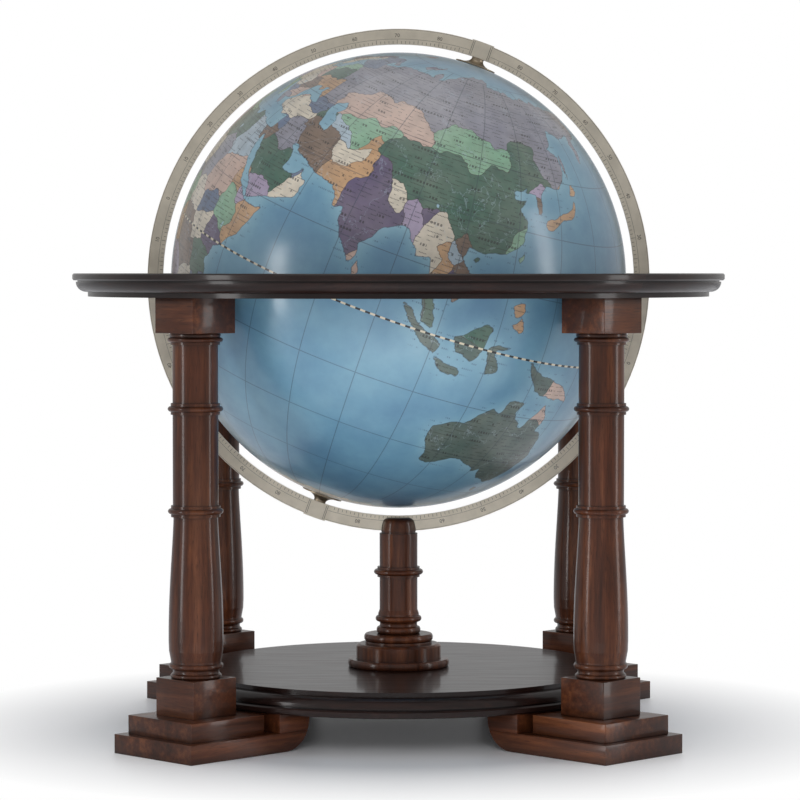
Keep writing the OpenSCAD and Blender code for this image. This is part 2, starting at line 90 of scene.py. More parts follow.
def add_light(name, place, aim, size, power, shows=True):
    """A soft panel. One that doesn't show leaves no mirror image of itself in the gloss."""
    data = bpy.data.lights.new(name, "AREA")
    data.shape = "RECTANGLE"
    data.size, data.size_y = size
    data.energy = power
    light = bpy.data.objects.new(name, data)
    light.location = place
    light.rotation_euler = (Vector(aim) - Vector(place)).to_track_quat("-Z", "Y").to_euler()
    light.visible_glossy = shows
    light.visible_camera = False
    bpy.context.scene.collection.objects.link(light)


def set_lights():
    add_light("left_box", (-1.7, -1.0, 0.35), (0, 0, 0.35), (0.3, 1.1), 7)
    add_light("right_box", (2.0, -0.5, 0.6), (0, 0, 0.35), (0.3, 1.6), 7)
    add_light("front_key", (0.0, -2.9, 1.6), (0, 0, 0.35), (1.6, 1.0), 19, shows=False)
    add_light("front_low", (0.0, -0.8, 0.06), (0, 0, 0.24), (0.6, 0.3), 2.6, shows=False)
    add_light("top_soft", (0.1, 0.2, 2.4), (0, 0, 0.4), (1.6, 1.6), 6)
    add_light("back_box", (0.4, 2.4, 1.4), (0, 0, 0.3), (1.6, 1.2), 20, shows=False)


class Tree:
    """Short calls for building a node tree."""

    def __init__(self, tree):
        self.tree = tree

    def node(self, kind, inputs=None, **settings):
        made = self.tree.nodes.new(kind)
        for name, value in settings.items():
            setattr(made, name, value)
        for name, value in (inputs or {}).items():
            self.put(made.inputs[name], value)
        return made

    def put(self, socket, value):
        if isinstance(value, bpy.types.NodeSocket):
            self.tree.links.new(value, socket)
        elif value is not None:
            socket.default_value = value

    def math(self, operation, a, b=None):
        made = self.tree.nodes.new("ShaderNodeMath")
        made.operation = operation
        for socket, value in zip(made.inputs, (a, b)):
            self.put(socket, value)
        return made.outputs[0]

    def mix(self, share, a, b):
        made = self.tree.nodes.new("ShaderNodeMix")
        made.data_type = "RGBA"
        self.put(made.inputs[0], share)
        self.put(made.inputs[6], a)
        self.put(made.inputs[7], b)
        return made.outputs[2]

    def noise(self, vector, scale, detail=3.0, rough=0.5, distortion=0.0):
        made = self.node("ShaderNodeTexNoise", {
            "Vector": vector, "Scale": scale, "Detail": detail,
            "Roughness": rough, "Distortion": distortion,
        })
        return made.outputs["Fac"]

    def span(self, value, low, high, to_low=0.0, to_high=1.0):
        made = self.node("ShaderNodeMapRange", {
            "Value": value, "From Min": low, "From Max": high, "To Min": to_low, "To Max": to_high,
        })
        return made.outputs[0]

    def scaled(self, vector, scale):
        made = self.node("ShaderNodeVectorMath", operation="MULTIPLY")
        self.put(made.inputs[0], vector)
        made.inputs[1].default_value = scale
        return made.outputs[0]


def new_material(name):
    material = bpy.data.materials.new(name)
    material.use_nodes = True
    material.node_tree.nodes.clear()
    tree = Tree(material.node_tree)
    out = tree.node("ShaderNodeOutputMaterial")
    shader = tree.node("ShaderNodeBsdfPrincipled")
    tree.put(out.inputs["Surface"], shader.outputs[0])
    return material, tree, shader, out


def rgb(red, green, blue):
    """Scene-linear colour from the 0 to 255 values of a screen colour."""
    def linear(c):
        c = c / 255
        return c / 12.92 if c <= 0.04045 else ((c + 0.055) / 1.055) ** 2.4
    return (linear(red), linear(green), linear(blue), 1.0)


def set_world():
    """Plain grey light for the object, and white where the camera or a reflection looks past it."""
    world = bpy.data.worlds.new("studio")
    bpy.context.scene.world = world
    world.use_nodes = True
    world.node_tree.nodes.clear()
    tree = Tree(world.node_tree)
    path = tree.node("ShaderNodeLightPath").outputs
    seen = tree.math("MAXIMUM", path["Is Camera Ray"], path["Is Transmission Ray"])
    lit = tree.node("ShaderNodeBackground", {"Color": (0.97, 0.98, 1.0, 1), "Strength": 0.31})
    shiny = tree.node("ShaderNodeBackground", {"Color": (1, 1, 1, 1), "Strength": 0.5})
    white = tree.node("ShaderNodeBackground", {"Color": (1, 1, 1, 1), "Strength": 1.0})
    first = tree.node("ShaderNodeMixShader")
    tree.put(first.inputs[0], path["Is Glossy Ray"])
    tree.put(first.inputs[1], lit.outputs[0])
    tree.put(first.inputs[2], shiny.outputs[0])
    second = tree.node("ShaderNodeMixShader")
    tree.put(second.inputs[0], seen)
    tree.put(second.inputs[1], first.outputs[0])
    tree.put(second.inputs[2], white.outputs[0])
    out = tree.node("ShaderNodeOutputWorld")
    tree.put(out.inputs["Surface"], second.outputs[0])


def set_floor():
    """A pale floor that shows the object's shadow near it and turns plain white further out."""
    bpy.ops.mesh.primitive_plane_add(size=14, location=(0, 0, -0.0002))
    floor = bpy.context.object
    floor.name = "floor"
    material, tree, shader, out = new_material("floor_white")
    shader.inputs["Base Color"].default_value = (0.94, 0.95, 0.98, 1)
    shader.inputs["Roughness"].default_value = 0.35
    place = tree.node("ShaderNodeTexCoord").outputs["Object"]
    reach = tree.node("ShaderNodeVectorMath", operation="LENGTH")
    tree.put(reach.inputs[0], place)
    far = tree.span(reach.outputs["Value"], 0.24, 0.44, 0.0, 1.0)
    seen = tree.math("MULTIPLY", far, tree.node("ShaderNodeLightPath").outputs["Is Camera Ray"])
    white = tree.node("ShaderNodeEmission", {"Color": (1, 1, 1, 1), "Strength": 1.0})
    mix = tree.node("ShaderNodeMixShader")
    tree.put(mix.inputs[0], seen)
    tree.put(mix.inputs[1], shader.outputs[0])
    tree.put(mix.inputs[2], white.outputs[0])
    tree.put(out.inputs["Surface"], mix.outputs[0])
    floor.data.materials.append(material)


# ------------------------------------------------------------------ materials

def wood(name, grain, dark, mid, light, segments=0):
    """Stained, lacquered hardwood whose grain runs along an axis of the piece.

    With segments, the piece is a ring or disc glued up from that many straight-grained parts."""
    material, tree, shader, out = new_material(name)
    place = tree.node("ShaderNodeTexCoord").outputs["Object"]
    seam = None
    if segments:
        parts = tree.node("ShaderNodeSeparateXYZ", {"Vector": place}).outputs
        turn = tree.math("DIVIDE", tree.math("ARCTAN2", parts["Y"], parts["X"]), 2 * math.pi / segments)
        index = tree.math("FLOOR", turn)
        middle = tree.math("MULTIPLY", tree.math("ADD", index, 0.5), -2 * math.pi / segments)
        turned = tree.node("ShaderNodeVectorRotate", {"Vector": place, "Angle": middle},
                           rotation_type="Z_AXIS").outputs[0]
        shift = tree.node("ShaderNodeCombineXYZ", {"Z": tree.math("MULTIPLY", index, 0.37)}).outputs[0]
        place = tree.node("ShaderNodeVectorMath", operation="ADD")
        tree.put(place.inputs[0], turned)
        tree.put(place.inputs[1], shift)
        place = place.outputs[0]
        edge = tree.math("ABSOLUTE", tree.math("SUBTRACT", tree.math("FRACT", turn), 0.5))
        seam = tree.math("GREATER_THAN", edge, 0.4994)
    else:
        random = tree.node("ShaderNodeObjectInfo").outputs["Random"]
        shift = tree.node("ShaderNodeCombineXYZ", {"X": random, "Y": random, "Z": random}).outputs[0]
        moved = tree.node("ShaderNodeVectorMath", operation="ADD")
        tree.put(moved.inputs[0], place)
        tree.put(moved.inputs[1], shift)
        place = moved.outputs[0]
    along = {"X": (0.06, 1, 1), "Y": (1, 0.06, 1), "Z": (1, 1, 0.06)}[grain]
    stretched = tree.scaled(place, along)
    figure = tree.noise(stretched, 42, 4, 0.6, 0.6)
    streak = tree.noise(stretched, 260, 3, 0.6)
    pores = tree.noise(stretched, 1500, 2, 0.5)
    cloud = tree.noise(place, 14, 3, 0.5)
    ramp = tree.node("ShaderNodeValToRGB")
    ramp.color_ramp.elements[0].position = 0.3
    ramp.color_ramp.elements[0].color = dark
    ramp.color_ramp.elements[1].position = 0.72
    ramp.color_ramp.elements[1].color = light
    middle_stop = ramp.color_ramp.elements.new(0.5)
    middle_stop.color = mid
    blend = tree.math("ADD", tree.math("MULTIPLY", figure, 0.6), tree.math("MULTIPLY", streak, 0.4))
    tree.put(ramp.inputs[0], blend)
    toned = tree.mix(tree.span(cloud, 0.35, 0.65, 0.0, 0.45), ramp.outputs[0], dark)
    fine = tree.mix(tree.span(pores, 0.56, 0.68, 0.0, 0.55), toned, dark)
    # Painted shade: the colour darkens towards a deep brown in crevices and recesses, where the occlusion node
    # finds surfaces close by.
    painted_shade_occlusion = tree.node("ShaderNodeAmbientOcclusion", {"Distance": 0.012}, samples=6)
    shade = tree.span(painted_shade_occlusion.outputs["AO"], 0.35, 0.95, 0.7, 0.0)
    colour = tree.mix(shade, fine, tuple(0.35 * c for c in dark[:3]) + (1,))
    if seam is not None:
        colour = tree.mix(tree.math("MULTIPLY", seam, 0.6), colour, (0.005, 0.003, 0.002, 1))
    tree.put(shader.inputs["Base Color"], colour)
    tree.put(shader.inputs["Roughness"], tree.span(streak, 0.3, 0.7, 0.3, 0.42))
    shader.inputs["Specular IOR Level"].default_value = 0.2
    shader.inputs["Coat Weight"].default_value = 0.5
    shader.inputs["Coat IOR"].default_value = 1.4
    shader.inputs["Coat Roughness"].default_value = 0.1
    bump = tree.node("ShaderNodeBump", {"Height": pores, "Strength": 0.12, "Distance": 0.0003})
    tree.put(shader.inputs["Normal"], bump.outputs[0])
    wave = tree.node("ShaderNodeBump", {"Height": cloud, "Strength": 0.05, "Distance": 0.002})
    tree.put(shader.inputs["Coat Normal"], wave.outputs[0])
    return material


def metal(name, colour, rough, turned=False):
    """Satin metal with fine grain, faint stains and duller patches, brushed round its axis where turned."""
    material, tree, shader, out = new_material(name)
    place = tree.node("ShaderNodeTexCoord").outputs["Object"]
    spots = tree.noise(place, 60, 4, 0.6)
    grain = tree.noise(place, 1800, 2, 0.5)
    dark = tuple(0.72 * c for c in colour[:3]) + (1,)
    tree.put(shader.inputs["Base Color"], tree.mix(tree.span(spots, 0.35, 0.75, 0.0, 0.6), colour, dark))
    shader.inputs["Metallic"].default_value = 1.0
    tree.put(shader.inputs["Roughness"], tree.span(spots, 0.3, 0.7, rough, rough + 0.12))
    bump = tree.node("ShaderNodeBump", {"Height": grain, "Strength": 0.06, "Distance": 0.0002})
    tree.put(shader.inputs["Normal"], bump.outputs[0])
    if turned:
        shader.inputs["Anisotropic"].default_value = 0.55
        round_axis = tree.node("ShaderNodeTangent", direction_type="RADIAL", axis="Y")
        tree.put(shader.inputs["Tangent"], round_axis.outputs[0])
    return material


def plain_felt(name, colour):
    material, tree, shader, out = new_material(name)
    place = tree.node("ShaderNodeTexCoord").outputs["Object"]
    fibre = tree.noise(place, 1400, 4, 0.7)
    pale = tuple(min(1.0, 2.2 * c) for c in colour[:3]) + (1,)
    tree.put(shader.inputs["Base Color"], tree.mix(fibre, colour, pale))
    shader.inputs["Roughness"].default_value = 0.95
    shader.inputs["Sheen Weight"].default_value = 0.4
    bump = tree.node("ShaderNodeBump", {"Height": fibre, "Strength": 0.6, "Distance": 0.0005})
    tree.put(shader.inputs["Normal"], bump.outputs[0])
    return material


def ink(name, colour):
    material, tree, shader, out = new_material(name)
    place = tree.node("ShaderNodeTexCoord").outputs["Object"]
    worn = tree.noise(place, 900, 3, 0.6)
    pale = tuple(min(1.0, 1.9 * c + 0.02) for c in colour[:3]) + (1,)
    tree.put(shader.inputs["Base Color"], tree.mix(tree.span(worn, 0.4, 0.7), colour, pale))
    shader.inputs["Roughness"].default_value = 0.6
    return material


MATERIALS = {}


def make_materials():
    walnut = (rgb(32, 16, 9), rgb(78, 40, 22), rgb(128, 75, 43))
    ebony = (rgb(16, 9, 8), rgb(32, 18, 15), rgb(52, 30, 24))
    MATERIALS["wood_x"] = wood("walnut_along_x", "X", *walnut)
    MATERIALS["wood_y"] = wood("walnut_along_y", "Y", *walnut)
    MATERIALS["wood_z"] = wood("walnut_along_z", "Z", *walnut)
    MATERIALS["ring_wood"] = wood("dark_ring_wood", "Y", *ebony, segments=8)
    MATERIALS["disc_wood"] = wood("dark_disc_wood", "X", *ebony)
    MATERIALS["beech"] = wood("bare_beech", "Z", rgb(150, 110, 72), rgb(186, 146, 100), rgb(212, 178, 134))
    MATERIALS["satin"] = metal("champagne_satin", rgb(228, 219, 202), 0.3, turned=True)
    MATERIALS["bronze"] = metal("dull_bronze", rgb(164, 150, 130), 0.36)
    MATERIALS["steel"] = metal("plain_steel", rgb(165, 167, 170), 0.3)
    MATERIALS["felt"] = plain_felt("green_felt", rgb(24, 46, 34))
    MATERIALS["ink"] = ink("dial_ink", rgb(92, 86, 76))
    MATERIALS["ink_dark"] = ink("mark_ink", rgb(60, 55, 48))


# ------------------------------------------------------------------ mesh helpers

def linked(name, data):
    made = bpy.data.objects.new(name, data)
    bpy.context.scene.collection.objects.link(made)
    return made


def finish(made, body, slot, material, smooth, *replaced):
    """Gives a piece its finish and its body, and hides the CAD nodes it stands for."""
    mesh = made.data
    mesh.materials.clear()
    mesh.materials.append(MATERIALS[material])
    mesh.shade_smooth()
    mesh.set_sharp_from_angle(angle=math.radians(smooth))
    bpy.context.view_layer.update()
    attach(made, body)
    if replaced:
        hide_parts(*replaced)


def lathe(points, steps=192, closed=False):
    """A mesh turned about +Z from (radius, height) points in metres. A closed outline makes a ring."""
    angles = [2 * math.pi * i / steps for i in range(steps)]
    mesh = bpy.data.meshes.new("turned")
    maker = bmesh.new()
    rows = []
    for r, z in points:
        if r < 1e-6:
            rows.append([maker.verts.new((0, 0, z))])
        else:
            rows.append([maker.verts.new((r * math.cos(a), r * math.sin(a), z)) for a in angles])
    pairs = list(zip(rows, rows[1:] + rows[:1])) if closed else list(zip(rows, rows[1:]))
    for low, high in pairs:
        for i in range(steps):
            j = (i + 1) % steps
            corners = [low[i % len(low)], low[j % len(low)], high[j % len(high)], high[i % len(high)]]
            unique = list(dict.fromkeys(corners))
            if len(unique) > 2:
                maker.faces.new(unique)
    bmesh.ops.recalc_face_normals(maker, faces=maker.faces)
    maker.to_mesh(mesh)
    maker.free()
    return mesh


def eased_copy(node, bevel, spin=0.0):
    """A copy of a CAD node's mesh with its flat faces joined up and its edges rounded.

    It is turned back by spin about +Z, so that the piece's own axes follow the leg."""
    mesh = nodes[node].data.copy()
    mesh.transform(Matrix.Rotation(-spin, 4, "Z"))
    maker = bmesh.new()
    maker.from_mesh(mesh)
    bmesh.ops.remove_doubles(maker, verts=maker.verts, dist=1e-6)
    bmesh.ops.dissolve_limit(maker, angle_limit=math.radians(1), verts=maker.verts, edges=maker.edges)
    clean = bpy.data.meshes.new(node)
    maker.to_mesh(clean)
    maker.free()
    bpy.data.meshes.remove(mesh)
    holder = bpy.data.objects.new("holder", clean)
    bpy.context.scene.collection.objects.link(holder)
    rounding = holder.modifiers.new("round", "BEVEL")
    rounding.width = bevel
    rounding.segments = 3
    rounding.limit_method = "ANGLE"
    rounding.angle_limit = math.radians(50)
    bpy.context.view_layer.update()
    result = bpy.data.meshes.new_from_object(holder.evaluated_get(bpy.context.evaluated_depsgraph_get()))
    bpy.data.objects.remove(holder)
    return result


# ------------------------------------------------------------------ stand

def dress_cad_nodes():
    """Gives each CAD node that shows as it is its finish."""
    wanted = {
        "wood_z": ["pedestal_base", "pedestal_stem", "pedestal_head"] + [f"{leg}_column" for leg in LEGS],
        "ring_wood": ["horizon_board", "horizon_moulding", "shelf_board"],
        "disc_wood": ["shelf_panel"],
        "beech": ["column_dowels", "horizon_pegs", "pedestal_dowel"],
        "steel": ["foot_screws", "shelf_screws", "pedestal_bolt", "north_pin", "south_pin"],
        "felt": ["slot_felt"],
        "satin": ["meridian_ring", "north_clasp", "south_clasp"],
        "bronze": ["north_cap", "south_cap", "north_bush", "south_bush"],
        "ink": ["equator_band"],
    }
    for material, names in wanted.items():
        for name in names:
            for slot in nodes[name].material_slots:
                slot.material = MATERIALS[material]


def add_leg_blocks():
    """The square blocks and boards of each leg, with their edges eased by sanding."""
    pieces = {
        "foot_board": ("wood_x", 1.6), "foot_step": ("wood_x", 1.4), "shelf_bearer": ("wood_x", 1.0),
        "plinth_block": ("wood_y", 1.1), "cap_block": ("wood_y", 1.1),
    }
    for leg, degrees in LEGS.items():
        spin = math.radians(degrees)
        for piece, (material, ease_mm) in pieces.items():
            name = f"{leg}_{piece}"
            made = bpy.data.objects.new(f"{name}_eased", eased_copy(name, ease_mm * MM, spin))
            bpy.context.scene.collection.objects.link(made)
            made.rotation_euler.z = spin
            finish(made, "stand", "stained_wood", material, 30, name)


# ------------------------------------------------------------------ ring marks

def add_box(maker, low, high, matrix):
    """Adds one box, from its corners in a frame of its own."""
    size = Vector(high) - Vector(low)
    middle = (Vector(high) + Vector(low)) / 2
    matrix = matrix @ Matrix.Translation(middle) @ Matrix.Diagonal((*size, 1))
    bmesh.ops.create_cube(maker, size=1.0, matrix=matrix)


def on_ring(turn, face):
    """Frame at an angle clockwise from the north pole, with +Y outward and +Z out of a face of the ring."""
    a = lean + turn
    out = Vector((math.sin(a), 0, math.cos(a)))
    normal = Vector((0, face, 0))
    across = out.cross(normal)
    basis = Matrix((across, out, normal)).transposed().to_4x4()
    return Matrix.Translation(centre + normal * ring_t / 2) @ basis


def clear_of_clasps(degree):
    return min(degree % 180, 180 - degree % 180) > 3


def add_ring_marks():
    """Engraved degree scale and plain numbers on both faces of the meridian ring."""
    proud = 0.03 * MM
    clasp_face = (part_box("north_clasp")[1].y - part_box("north_clasp")[0].y - ring_t) / 2
    maker = bmesh.new()
    for face in (-1, 1):
        for degree in filter(clear_of_clasps, range(360)):
            length = 3.4 * MM if degree % 5 == 0 else 2.2 * MM
            foot = ring_in + 0.5 * MM
            add_box(maker, (-0.16 * MM, foot, 0), (0.16 * MM, foot + length, proud),
                    on_ring(math.radians(degree), face))
    scale = bpy.data.meshes.new("ring_scale")
    maker.to_mesh(scale)
    maker.free()
    finish(linked("ring_scale", scale), "meridian", "ring_metal", "ink_dark", 30)

    maker = bmesh.new()
    for face in (-1, 1):
        for r in (ring_in + 4.4 * MM, ring_out - 0.9 * MM):
            line = lathe([(r, 0), (r + 0.22 * MM, 0), (r + 0.22 * MM, proud), (r, proud)], 240, closed=True)
            line.transform(on_ring(0, face))
            maker.from_mesh(line)
        for pole in (0, 180):
            for side in (-1, 1):
                for inset in (1.2 * MM, 2.6 * MM):
                    x = side * (CLASP_HALF - inset)
                    add_box(maker, (x - 0.18 * MM, ring_in + 0.4 * MM, clasp_face),
                            (x + 0.18 * MM, ring_out - 0.4 * MM, clasp_face + proud),
                            on_ring(math.radians(pole), face))
    lines = bpy.data.meshes.new("ring_lines")
    maker.to_mesh(lines)
    maker.free()
    finish(linked("ring_lines", lines), "meridian", "ring_metal", "ink_dark", 30)

    maker = bmesh.new()
    for degree in range(10, 360, 10):
        if degree == 180:
            continue
        value = abs(90 - min(degree, 360 - degree))
        data = bpy.data.curves.new("figure", "FONT")
        data.body = str(value)
        data.size = 4.6 * MM
        data.extrude = proud
        data.align_x = "CENTER"
        data.resolution_u = 3
        text = linked("figure", data)
        bpy.context.view_layer.update()
        shape = bpy.data.meshes.new_from_object(text.evaluated_get(bpy.context.evaluated_depsgraph_get()))
        bpy.data.objects.remove(text)
        for face in (-1, 1):
            copy = shape.copy()
            baseline = Matrix.Translation((0, ring_in + 6.2 * MM, 0))
            copy.transform(on_ring(math.radians(degree), face) @ baseline)
            maker.from_mesh(copy)
    figures = bpy.data.meshes.new("ring_figures")
    maker.to_mesh(figures)
    maker.free()
    finish(linked("ring_figures", figures), "meridian", "ring_metal", "ink_dark", 30)


# ------------------------------------------------------------------ map

# Outlines of the land, as longitude,latitude in degrees
LAND = """
-9,38.7 -9,43 -2,43.5 -1,46 -4.5,48.3 -1.5,49.5 2,51 4.5,52.5 8,53.8 8,57 10.5,57.5 10,55 12,54.2 14,54
18.5,54.7 21,55.5 21.5,57.5 24,57.2 23.5,59 28,59.6 30,60 25,60.2 21.5,61 21.5,63 25.3,65 22,65.8 17.5,62.3
18.5,60 16.5,57 14,55.5 12.5,56.2 11,59 8,58 5.3,59.5 5,62 10,64 14,68 20,70 28,71 33,69.4 41,67 40,66.3
33,66.5 36,64 40,65 44,66 44,68 54,68.5 60,69 68,68.5 67,71 72,73 74,70 73,68 77,69 80,72.5 87,75 97,76
104,77.5 112,76 108,73.5 113,73.7 127,73.5 131,71 140,72.5 150,71.3 160,69.7 170,69 181,68 190,66 187,64.5
180,65 178,62.5 170,60 163,58 162,55 157,51 156,57 163,61 155,59.5 143,59.3 135,54.7 141,53 140,48 135,43.5
130.5,42.3 128,40 129.3,36 127,34.5 126.3,37 125,39.5 121.5,39 122,40.5 118,39 119,37.3 122.3,37.2 119.5,35
122,31.5 121.5,28.5 119,25.5 116.5,23 110.5,21 108,21.5 105.8,19 109,15 109.2,11.7 105,8.7 105,10.5 102.5,12
100.8,13.4 99.3,10 103.3,5 104,1.5 101,3 98.3,8 98.7,12 97.5,16.5 94.3,16 94,19 91.5,22.7 88,21.7 86.8,20.5
82.3,16.7 80.2,15 79.8,10.3 77.6,8 74.8,13 72.9,19 72.6,21.3 70,20.9 69,22.3 67,24.8 61.5,25.1 57,27 51,28
50,30 48,30 48.3,28.5 51.5,25.8 51.5,24.3 54.5,24.2 56.4,26.2 56.7,24.4 59.8,22.5 57.8,19 52,15.6 45,12.8
43.3,12.7 42.7,16.5 39,21.3 35,28 34.9,29.5 33.8,27.8 32.6,29.9 32.3,31.2 34.3,31.3 36,36.8 32.5,36 30.5,36.8
27.3,37 26.3,39.3 29,41 33,42 38,41 41.5,41.5 38,44.4 37,46 39,47.2 35,46.3 36.5,45.3 33.5,44.5 33,46.1
30.7,46.4 28,43.5 28,41.7 26,40.7 23,40.3 24,38 22.8,36.5 21.3,37.5 19.4,40.5 19.3,42 15.3,44.2 13.7,45.5
12.3,45.2 13.6,43.5 16,42 18.4,40.2 17,40.5 17,39 16,38 15.7,40 12,42 10.3,43.8 8.7,44.3 6,43.2 3.2,43.2
3.2,41.8 0,39.5 -2,36.8 -5.6,36.1 -8.9,37
/ 47,45 51.3,46.5 53,45 50.5,42.5 53.8,40.8 53.8,37 50,37.3 49.5,40.5 47.5,43
/ -6,35.8 3,36.9 10,37.3 11,34 15.3,32.3 20,31 22,32.8 29,30.9 32.3,31.2 32.6,29.9 35,24.5 37.3,20 39.5,15.3
43.2,11.8 51.2,11.9 48,5 42,-1 39.3,-6 40.6,-14.5 35,-20 35.5,-24 32.8,-26 32,-29 27,-33.7 20,-34.8 18,-32
15,-27 12,-18 13.7,-11 12.2,-5.5 9,-1 9.5,4 5.5,4.5 1,6 -4.5,5.2 -8,4.5 -13.3,8.8 -17,14.7 -16.5,20 -14.5,26
-9.7,31 -6.8,34
/ 49.3,-12 50.3,-15.5 47,-25 44,-24.5 44.3,-17 47,-15
/ 114,-22 113.7,-26 115.7,-32 115.2,-34.3 118,-35 124,-33 129,-31.6 134,-32.7 136,-35 138,-33 138.5,-35.5
141,-38.3 147,-38.8 150,-37.2 153,-31 153.3,-26 149.5,-22 146,-19 145.3,-15 142.5,-10.8 141,-15 139.5,-17.5
135.5,-14.8 136.8,-12.2 132,-11.4 129,-14.8 126,-14 122.3,-18 118,-20.3 / 145,-41 148,-41 147,-43.5
/ 131,-1 135,-3.3 141,-2.6 147.8,-6 150.5,-10.5 146,-8.6 143,-9.2 138,-8 133,-4
/ 109,1.5 111.5,2.5 116.8,7 119,5 117.7,1 116,-4 110.3,-2.9 / 95.3,5.6 98,4.5 103,0 106,-3 105.8,-5.8 102,-4
98.7,1.5 / 105.5,-6.5 108.5,-6.3 114.4,-7.3 114.3,-8.9 108,-8.1 / 119,0 121,1.3 125,1.8 121,0 121,-2 122.5,-4.5
120.3,-5.6 119.2,-3.3 / 120.3,18.4 122.2,18.4 121.8,14.5 124,12.8 120.4,14 / 122,7 125,9.7 126.4,7 125.3,5.7
/ 122,11.6 125.4,12.3 125,10 122.5,9.6 / 130,33 131,34.4 136,36 139.5,38.5 141.3,41.4 142,39.5 140.8,35.5
136,33.4 131,31.3 / 140,42 141.8,45.4 145.3,43.5 143,42 / 120,23 121.7,25.3 121.2,22 / 108.5,19.3 111,20.2
110,18.1 / 79.7,8 80.2,9.8 82,7.3 80.5,5.9 / 142,46 143.8,49 142.5,54.3 141.5,51 / 172.7,-34.4 178.4,-37.7
175.3,-41.6 174.3,-38 / 172.7,-40.6 174.2,-41.8 171,-44.5 169,-46.6 166.5,-46 / -5.5,50 1.5,51.2 0,53.5 -2,56
-3,58.6 -5.8,57 -3,54.5 -4.5,52 / -10,52 -6.2,52.2 -6,55 -9.5,54 / -24,65.5 -18,66.3 -14,65 -19,63.4
/ 52,71 56,74.5 68,77 60,74.5 57,71 / 12,79.5 25,80 18,76.7 / -73,78 -60,82 -33,83.5 -18,79 -22,71 -40,65
-44,60 -53,67 -55,71 / -168,65.5 -156,71.3 -141,69.7 -128,70 -115,68 -96,68 -94,72 -82,69.5 -86,66 -94,61
-92,57 -82,55 -80,51.5 -78,56 -77,62.4 -70,61 -65,58.5 -56,52 -66,50 -65,48.5 -61,46 -66,44 -70,43.5 -70,41.7
-74,40.5 -76,35 -81,31.5 -80,26 -81.5,26 -84,30 -90,29.3 -97,27.5 -97.5,22 -94.5,18.2 -91,18.8 -90,21.3
-87,21.4 -88.5,16 -83.5,15 -83.5,10.5 -79.5,9.4 -77.5,8.5 -80,7.3 -85,10 -92,14.5 -96,15.7 -105,20 -109,25.5
-114.5,31.5 -110,23 -115,29 -117,32.5 -124,40 -124,47.5 -130,54.5 -138,59 -147,61 -153,58.5 -164,54.7
-158,58.5 -165,62 / -62,66.5 -73,73.5 -88,73.5 -78,65 -66,62 / -62,82.5 -92,81.5 -85,76.5 -78,76.5
/ -117,70 -117,73 -105,73 -101,69 / -85,22 -80,23.2 -74.3,20.2 -77.5,19.7 / -74.3,18.3 -72.5,20 -68.5,18.6
/ -59,47.7 -56,51.5 -53,47 / -77.5,8.5 -72,12 -62,10.7 -51.5,4 -50,0 -44,-2.7 -35,-6 -39,-13 -39,-18 -42,-23
-48.5,-27 -53.5,-34 -58,-34.2 -57,-37.5 -62,-39 -65,-43 -67.5,-46.5 -69,-51 -66,-55 -74.5,-51 -73,-40
-71.5,-30 -70.3,-18 -76.3,-14 -81,-6 -80,-2.5 -77.5,3.5 / -180,-84 -150,-77 -125,-73.5 -100,-73 -75,-72
-60,-64 -60,-74 -35,-78 -10,-71 30,-69 60,-67 90,-66.5 130,-66 160,-69 166,-78 180,-84 180,-91 -180,-91
"""

